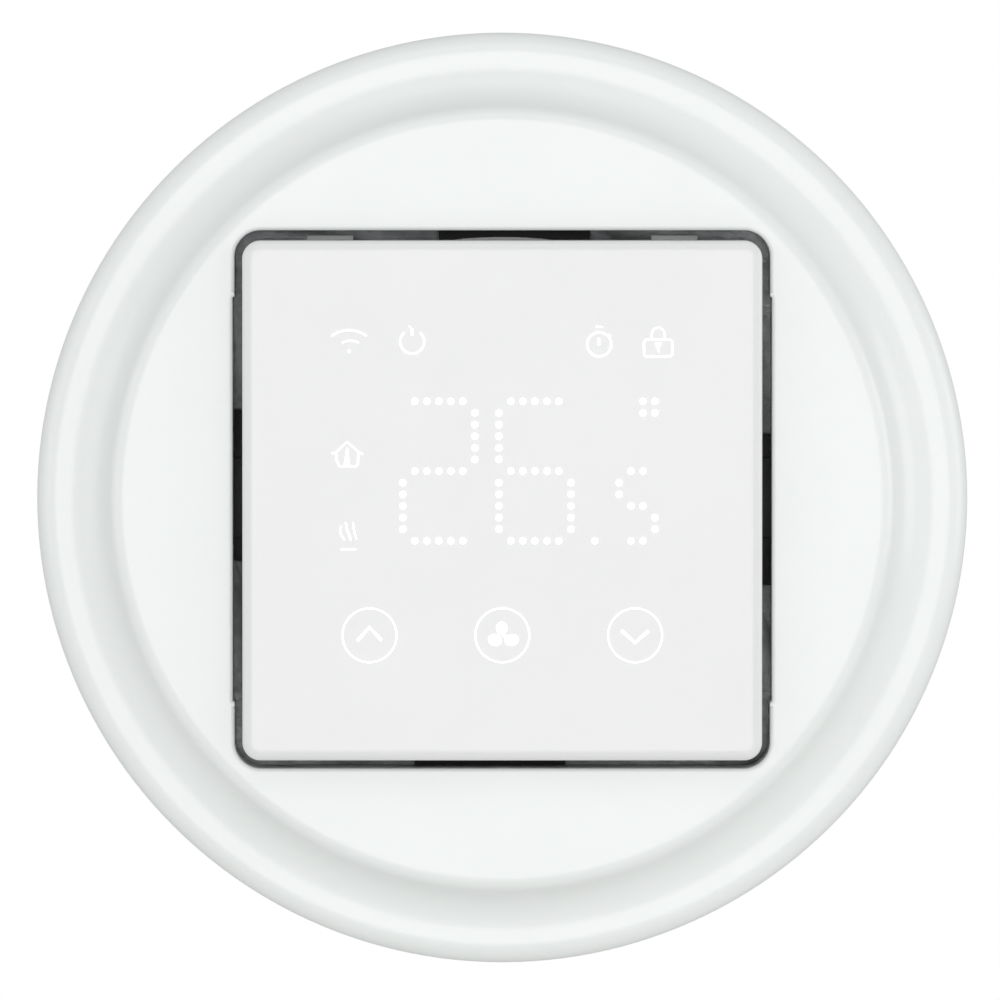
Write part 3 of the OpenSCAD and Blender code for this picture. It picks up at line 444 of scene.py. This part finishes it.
def bendPoints(a, b, c, d, count):
    points = []
    for i in range(1, count + 1):
        t = i / count
        u = 1 - t
        weights = (u * u * u, 3 * u * u * t, 3 * u * t * t, t * t * t)
        points.append(tuple(sum(w * p[k] for w, p in zip(weights, (a, b, c, d))) for k in (0, 1)))
    return points


# --- cover frame

frameShape = {
    "centreRadius": 40.1 * mm,
    "centreRound": 1.9 * mm,
    "slopeTurn": 60.0,  # degrees the centre's edge turns down before it runs straight
    "slopeRun": 0.25 * mm,
    "coveRound": 5.0 * mm,
    "rimFlatTo": 47.3 * mm,
    "edgeHeight": 3.7 * mm,
    "coveHeight": 5.4 * mm,
    "wall": 1.9 * mm,
    "gapX": 0.9 * mm,
    "gapZ": 1.05 * mm,
    "corner": 2.8 * mm,
    "collarWall": 1.6 * mm,
    "collarFoot": 2.0 * mm,
    "lipRound": 0.42 * mm,
    "relief": 0.2 * mm,
    "reliefHalf": 21.5 * mm,
    "footRound": 0.35 * mm,
    "innerRound": 0.8 * mm,
    "innerEase": 0.3 * mm,
    "innerSoft": 0.6 * mm,
    "reliefSoft": 0.19 * mm,
    "notchAt": 3 * mm,
    "notchDeep": 3.6 * mm,
    "notchTall": 10 * mm,
    "steps": 192,
}


def makeCoverFrame():
    s = frameShape
    radius, top = frameRadius, frameTop
    edge = s["centreRadius"]
    innerTop = top - s["wall"]
    innerRing = s["coveHeight"] - s["wall"]
    foot = s["footRound"]
    down = s["slopeTurn"]
    sink = math.radians(down)
    outline = [(0.0, top), (edge - 6 * mm, top)]
    outline += arcPoints((edge, top - s["centreRound"]), s["centreRound"], 90, 90 - down, 12)
    low = (outline[-1][0] + s["slopeRun"] * math.cos(sink), outline[-1][1] - s["slopeRun"] * math.sin(sink))
    centre = (low[0] + s["coveRound"] * math.sin(sink), low[1] + s["coveRound"] * math.cos(sink))
    outline += arcPoints(centre, s["coveRound"], 270 - down, 270, 20)
    crest = (max(outline[-1][0] + 0.01 * mm, s["rimFlatTo"]), outline[-1][1])
    outline.append(crest)
    outline += bendPoints(crest, (crest[0] + 0.55 * (radius - crest[0]), crest[1]),
                          (radius, crest[1] - 0.55 * (crest[1] - s["edgeHeight"])),
                          (radius, s["edgeHeight"]), 18)
    outline += arcPoints((radius - foot, foot), foot, 0, -90, 4)
    inner, ease, soft = s["innerRound"], s["innerEase"], s["innerSoft"]
    outline += [(radius - s["wall"], 0.0), (radius - s["wall"], innerRing - inner)]
    outline += arcPoints((radius - s["wall"] - inner, innerRing - inner), inner, 0, 90, 4)[1:]
    innerWall = edge - s["wall"]
    outline += [(innerWall + ease, innerRing), (innerWall, innerRing + ease),
                (innerWall, innerTop - soft), (innerWall - soft, innerTop), (0.0, innerTop)]
    shell = lathe(outline, s["steps"], "cover_shell")
    openX, openZ = faceHalf + s["gapX"], faceHalf + s["gapZ"]
    collar = roundedPlate(openX + s["collarWall"], openZ + s["collarWall"], s["corner"] + s["collarWall"],
                          s["collarFoot"], innerTop + 0.2 * mm)
    cutWith(shell, collar, "UNION")
    cutWith(shell, roundedPlate(openX, openZ, s["corner"], -1 * mm, top + 1 * mm, 20))
    for side in (-1, 1):  # each side wall is a little hollowed along its middle
        clearSelection()
        bpy.ops.mesh.primitive_cube_add(size=1, location=(side * openX, -top / 2, 0))
        relief = bpy.context.object
        relief.scale = (2 * s["relief"], 3 * top, 2 * s["reliefHalf"])
        bakePlace(relief)
        editPiece(relief, "EDGE")
        selectEdges(relief, lambda e: abs(e.verts[0].co.y - e.verts[1].co.y) > top)
        bpy.ops.mesh.bevel(offset=s["reliefSoft"], segments=4, affect="EDGES")
        leaveEdit()
        cutWith(shell, relief)
        clearSelection()
        outside = side * (openX + s["collarWall"])
        bpy.ops.mesh.primitive_cube_add(size=1, location=(outside, -s["notchAt"], 0))
        notch = bpy.context.object
        notch.scale = (4 * s["collarWall"], s["notchDeep"], s["notchTall"])
        bakePlace(notch)
        cutWith(shell, notch)
    editPiece(shell, "EDGE")
    bpy.ops.mesh.select_all(action="SELECT")
    bpy.ops.mesh.remove_doubles(threshold=0.001 * mm)
    bpy.ops.mesh.dissolve_limited(angle_limit=math.radians(0.2))
    reach = max(openX, openZ) + 0.5 * mm

    def isLip(e):
        a, b = e.verts[0].co, e.verts[1].co
        flat = abs(a.y + top) < 0.01 * mm and abs(b.y + top) < 0.01 * mm
        near = all(abs(v.x) < reach and abs(v.z) < reach for v in (a, b))
        return flat and near and len(e.link_faces) == 2 and e.calc_face_angle(0) > 0.8

    selectEdges(shell, isLip)
    bpy.ops.mesh.bevel(offset=s["lipRound"], segments=5, affect="EDGES")
    leaveEdit()
    smoothBy(shell, 32)
    return settle(shell, "round_cover_frame", "cover_frame", "frame_white", "cover_frame")


makeCoverFrame()
print("cover frame made")


# --- face of the display module

faceShape = {
    "corner": 1.9 * mm,
    "softIn": 1.25 * mm,  # how far in from the edge the front starts to fall away
    "softDrop": 0.62 * mm,
    "softSteps": 10,
    "wall": 1.6 * mm,
    "front": 1.8 * mm,
    "hem": 0.25 * mm,
    "postIn": 3.3 * mm,  # of the screw posts, in from the inner wall
    "postRadius": 2.3 * mm,
    "postLength": 3.6 * mm,
}


def makeFace():
    s = faceShape
    depth = faceFront - -faceHigh.y
    face = roundedPlate(faceHalf, faceHalf, s["corner"], -faceHigh.y, faceFront - s["softDrop"], 18)
    editPiece(face)
    selectFaces(face, lambda f: f.normal.y < -0.9)
    gone, rise = 0.0, 0.0
    for i in range(1, s["softSteps"] + 1):
        turn = math.pi / 2 * i / s["softSteps"]
        inward = s["softIn"] * (1 - math.cos(turn))
        up = s["softDrop"] * math.sin(turn)
        bpy.ops.mesh.inset(thickness=inward - gone, depth=up - rise)
        gone, rise = inward, up
    selectFaces(face, lambda f: f.normal.y > 0.9)
    bpy.ops.mesh.inset(thickness=s["wall"], depth=0)
    inside = depth - s["front"]
    bpy.ops.mesh.extrude_region_move(TRANSFORM_OT_translate={"value": (0, -inside, 0)})
    leaveEdit()
    editPiece(face, "EDGE")
    rear = faceHigh.y
    selectEdges(face, lambda e: all(abs(v.co.y - rear) < 0.01 * mm for v in e.verts)
                and e.calc_face_angle(0) > 0.8)
    bpy.ops.mesh.bevel(offset=s["hem"], segments=3, affect="EDGES")
    leaveEdit()
    for sx in (-1, 1):  # the four screw posts inside
        for sz in (-1, 1):
            clearSelection()
            at = faceHalf - s["wall"] - s["postIn"]
            middle = -faceFront + s["front"] + s["postLength"] / 2
            bpy.ops.mesh.primitive_cylinder_add(vertices=32, radius=s["postRadius"],
                                                depth=s["postLength"],
                                                location=(sx * at, middle, sz * at),
                                                rotation=(math.pi / 2, 0, 0))
            post = bpy.context.object
            bakePlace(post)
            cutWith(face, post, "UNION")
    smoothBy(face, 40)
    return settle(face, "touch_face", "display_module", "face_white", "face_cover")


makeFace()
print("face made")


# --- lit marks on the face

markShape = {
    "height": 0.04 * mm,
    "dot": 0.72 * mm,
    "stroke": 0.34 * mm,
    "cell": 0.75 * mm,  # of a CAD dot
    "lastColumn": 21,
    "lastRow": 12,
    "dotRim": 0.08 * mm,
    "dotRise": 0.006 * mm,
}
dotsLow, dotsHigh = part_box("digit_dots")


def dotPlace(column, row):
    # Dot rows and columns are spread over the CAD node's box: 22 columns and 13 rows
    cell = markShape["cell"]
    across = (dotsHigh.x - dotsLow.x - cell) / markShape["lastColumn"]
    down = (dotsHigh.z - dotsLow.z - cell) / markShape["lastRow"]
    return (dotsLow.x + cell / 2 + column * across, dotsHigh.z - cell / 2 - row * down)


def digitDots(lit, column, row, wide, tall):
    half = tall // 2
    level = {"a": 0, "g": half, "d": tall}
    upright = {"f": (0, 0), "b": (wide, 0), "e": (0, half), "c": (wide, half)}
    dots = [(column + c, row + level[k]) for k in lit if k in level for c in range(1, wide)]
    dots += [(column + upright[k][0], row + upright[k][1] + r)
             for k in lit if k in upright for r in range(1, half)]
    return dots


def makeDots():
    s = markShape
    lit = digitDots("abged", 0, 0, 6, 12) + digitDots("afgecd", 8, 0, 6, 12) + [(16, 12)]
    lit += digitDots("afgcd", 18, 6, 3, 6) + [(20, 0), (21, 0), (20, 1), (21, 1)]
    clearSelection()
    bpy.ops.mesh.primitive_cylinder_add(vertices=24, radius=s["dot"] / 2, depth=s["height"],
                                        location=(0, -faceFront - s["height"] / 2, 0),
                                        rotation=(math.pi / 2, 0, 0))
    dot = bpy.context.object
    bakePlace(dot)
    editPiece(dot)
    selectFaces(dot, lambda f: f.normal.y < -0.9)
    bpy.ops.mesh.inset(thickness=s["dotRim"], depth=s["dotRise"])
    leaveEdit()
    dots = []
    for column, row in lit:
        copy = dot.copy()
        copy.data = dot.data.copy()
        bpy.context.collection.objects.link(copy)
        x, z = dotPlace(column, row)
        copy.location = (x, 0, z)
        dots.append(copy)
    bpy.data.objects.remove(dot)
    return settle(joinPieces(dots), "lit_digits", "display_module", "glow", "digit_dots")


def strokeLine(points, width, closed=False):
    # A flat, softly domed stroke along points (x, z) on the front of the face
    curve = bpy.data.curves.new("stroke", "CURVE")
    curve.dimensions = "3D"
    curve.bevel_depth = width / 2
    curve.bevel_resolution = 3
    curve.use_fill_caps = True
    spline = curve.splines.new("POLY")
    spline.points.add(len(points) - 1)
    for point, (x, z) in zip(spline.points, points):
        point.co = (x, 0, z, 1)
    spline.use_cyclic_u = closed
    stroke = bpy.data.objects.new("stroke", curve)
    bpy.context.collection.objects.link(stroke)
    pickOnly(stroke)
    bpy.ops.object.convert(target="MESH")
    stroke = bpy.context.object
    stroke.scale = (1, 2 * markShape["height"] / width, 1)
    stroke.location = (0, -faceFront, 0)
    bakePlace(stroke)
    return stroke


def dab(x, z, across, tall, turn=0.0):
    # A softly domed oval, across and tall its half sizes
    clearSelection()
    bpy.ops.mesh.primitive_uv_sphere_add(segments=28, ring_count=12, radius=1, rotation=(math.pi / 2, 0, 0))
    spot = bpy.context.object
    bakePlace(spot)
    spot.scale = (across, markShape["height"], tall)
    bakePlace(spot)
    spot.rotation_euler = (0, math.radians(turn), 0)
    spot.location = (x, -faceFront, z)
    bakePlace(spot)
    return spot


def shiftAll(points, x, z):
    return [(px * mm + x, pz * mm + z) for px, pz in points]


symbolThin = 0.72  # share of each drawn width that the lit line really has
symbolPlaces = {
    "radio": (-16.18, 15.82), "power": (-9.53, 16.84), "timer": (10.24, 16.55),
    "lock": (16.48, 16.15), "house": (-16.39, 4.9), "heat": (-16.3, -3.7),
}


def makeSymbols():
    w = markShape["stroke"]
    parts = []

    def draw(points, width=w, closed=False):
        parts.append(strokeLine(shiftAll(points, at[0], at[1]), symbolThin * width, closed))

    def spot(x, z, across, tall, turn=0.0):
        parts.append(dab(at[0] + x * mm, at[1] + z * mm, across * mm, tall * mm, turn))

    def place(name):
        return tuple(v * mm for v in symbolPlaces[name])

    at = place("radio")
    spot(0, 0, 0.16, 0.18)
    draw(arcPoints((0.12, -0.7), 1.82, 61, 119, 14), 0.26 * mm)
    draw(arcPoints((-0.02, -0.82), 3.06, 53, 127, 24), 0.3 * mm)

    at = place("power")
    draw(arcPoints((0, 0), 1.27, 131, 409, 44), 0.3 * mm)
    draw([(-0.02, 0.66), (-0.02, 1.4)], 0.38 * mm)
    draw([(-0.1, 1.3), (-0.34, 1.68)], 0.2 * mm)

    at = place("timer")
    draw(arcPoints((0, 0), 1.27, 0, 352, 48), 0.32 * mm, closed=True)
    draw([(-0.36, 1.85), (0.4, 1.85)], 0.26 * mm)
    draw([(-0.05, -0.1), (-0.05, 0.7)], 0.42 * mm)
    draw([(0.95, 1.0), (1.12, 1.0), (1.16, 0.8)], 0.3 * mm)

    at = place("lock")
    body = arcPoints((1.12, 0.52), 0.4, 0, 90, 5) + arcPoints((-1.12, 0.52), 0.4, 90, 180, 5)
    body += arcPoints((-1.18, -0.6), 0.3, 180, 270, 5) + arcPoints((1.18, -0.6), 0.3, 270, 360, 5)
    draw(body, 0.3 * mm, closed=True)
    shackle = [(-0.68, 0.9)] + arcPoints((0, 1.24), 0.68, 180, 0, 14) + [(0.68, 0.9)]
    draw([(x, z + (0.24 if 0.9 < z else 0)) for x, z in shackle], 0.28 * mm)
    for i in range(4):  # a keyhole that narrows downwards
        draw([(-0.34 + 0.09 * i, 0.5 - 0.2 * i), (0.34 - 0.09 * i, 0.5 - 0.2 * i)], 0.24 * mm)
    draw([(0.02, 0.1), (0.02, -0.42)], 0.22 * mm)

    at = place("house")
    roof = [(-1.64, 0.13), (-1.25, 0.17), (-0.02, 1.36), (1.25, 0.2), (1.66, 0.06)]
    draw(roof, 0.27 * mm)
    walls = [(-1.14, 0.25), (-1.16, -0.5), (-0.86, -1.25), (0.95, -1.25), (1.12, -1.0), (1.16, 0.2)]
    draw(walls, 0.3 * mm)
    for i, x in enumerate((-0.3, -0.1, 0.1, 0.22)):  # a flame, narrow at its tip
        draw([(0.0, 0.68 - 0.12 * i), (x, -1.15)], 0.24 * mm)

    at = place("heat")
    draw([(-0.78, -1.44), (0.82, -1.44)], 0.26 * mm)
    draw([(-0.73, 1.06), (-0.86, 0.6), (-0.8, 0.2), (-0.62, -0.1), (-0.38, -0.44)], 0.22 * mm)
    draw([(-0.25, 1.44), (-0.2, 0.95), (-0.06, 0.5), (0.1, 0.15), (0.27, -0.46)], 0.3 * mm)
    draw([(0.54, 1.44), (0.56, 0.8), (0.74, 0.2), (0.88, -0.34)], 0.2 * mm)
    return settle(joinPieces(parts), "lit_symbols", "display_module", "glow", "icon_marks")


keyShape = {"across": 14.05, "down": -14.23, "ring": 2.86, "ringStroke": 0.17, "chevron": 0.36}


def makeKeys():
    s = keyShape
    parts = []

    def draw(points, x, width, closed=False):
        parts.append(strokeLine(shiftAll(points, x * mm, s["down"] * mm), width * mm, closed))

    for x in (-s["across"], 0, s["across"]):
        draw(arcPoints((0, 0), s["ring"], 0, 354, 60), x, s["ringStroke"], closed=True)
    up = [(-1.27, -0.56), (-0.02, 0.86), (1.27, -0.52)]
    draw(up, -s["across"], s["chevron"])
    draw([(x * 1.12, -z * 0.92) for x, z in up], s["across"], s["chevron"])
    for x, z, across, tall, turn in ((-0.05, 0.74, 0.6, 0.7, 0), (-0.78, -0.5, 0.74, 0.62, 12),
                                     (1.0, -0.5, 0.76, 0.6, -10)):
        parts.append(dab(x * mm, (s["down"] + z) * mm, across * mm, tall * mm, turn))
    draw([(0.1, 0), (0.75, -0.36)], 0, 0.3)
    return settle(joinPieces(parts), "lit_keys", "display_module", "glow", "key_marks")


makeDots()
makeSymbols()
makeKeys()
print("lit marks made")


# --- parts that keep their CAD shape, with their edges broken

def nodeCopy(name):
    mesh = nodes[name].data.copy()
    piece = bpy.data.objects.new(name + "_shape", mesh)
    bpy.context.collection.objects.link(piece)
    editPiece(piece, "VERT")
    bpy.ops.mesh.select_all(action="SELECT")
    bpy.ops.mesh.remove_doubles(threshold=0.001 * mm)
    bpy.ops.mesh.dissolve_limited(angle_limit=math.radians(0.6))
    leaveEdit()
    return piece


edgeBreaks = {  # width of the broken edge, in mm, and its segments
    "display_back": (0.16, 3), "support_plate": (0.14, 2), "base_housing": (0.25, 3),
    "rear_cover": (0.25, 3), "terminal_block": (0.12, 2), "relay_cover": (0.25, 3),
    "light_box": (0.1, 2), "display_board": (0.08, 2), "power_board": (0.08, 2),
    "film_capacitor": (0.3, 3), "fuse": (0.25, 3), "transformer_core": (0.2, 2),
    "transformer_bobbin": (0.12, 2), "transformer_winding": (0.5, 3), "wireless_module": (0.12, 2),
    "buzzer": (0.2, 2), "pin_socket": (0.08, 2), "header_body": (0.08, 2), "relay_base": (0.12, 2),
    "relay_yoke": (0.08, 2), "relay_armature": (0.08, 2), "controller_chip": (0.04, 2),
    "rectifier": (0.08, 2), "battery_clip": (0.05, 2), "backup_battery": (0.15, 3),
    "relay_bobbin": (0.1, 2), "relay_contacts": (0.05, 2), "contact_spring": (0.05, 2),
    "case_screws": (0.1, 2), "board_screws": (0.08, 2), "display_screws": (0.08, 2),
    "header_pins": (0.08, 2), "terminal_tongues": (0.06, 2), "varistor": (0.6, 4),
    "segment_leds": (0.05, 1), "icon_leds": (0.05, 1),
}
edgeBreaks.update({f"terminal_screw_{i}": (0.1, 2) for i in range(1, 7)})
edgeBreaks.update({f"clamp_cage_{i}": (0.12, 2) for i in range(1, 7)})


def makeBroken(name):
    width, segments = edgeBreaks[name]
    piece = nodeCopy(name)
    applyModifier(piece, "BEVEL", width=width * mm, segments=segments, limit_method="ANGLE",
                  angle_limit=math.radians(35), use_clamp_overlap=True, harden_normals=False)
    smoothBy(piece, 35)
    material = coilFinish if name in ("relay_winding", "transformer_winding") else None
    return settle(piece, name + "_piece", nodeBodies[name], nodeSlots[name], name, material=material)


for name in sorted(edgeBreaks):
    makeBroken(name)
for name, node in nodes.items():
    if name in edgeBreaks or node.hide_render:
        continue
    node.data.materials.clear()
    node.data.materials.append(coilFinish if name == "relay_winding" else finishes[nodeSlots[name]])
print("other parts finished")


# --- floor and the end

clearSelection()
bpy.ops.mesh.primitive_plane_add(size=3, location=(0, 0, -0.42))
floor = bpy.context.object
floor.name = "pale_floor"
floor.data.materials.append(mouldedPlastic("paleFloor", (0.8, 0.8, 0.79), 0.7, 1.5 * mm, 0.05 * mm))
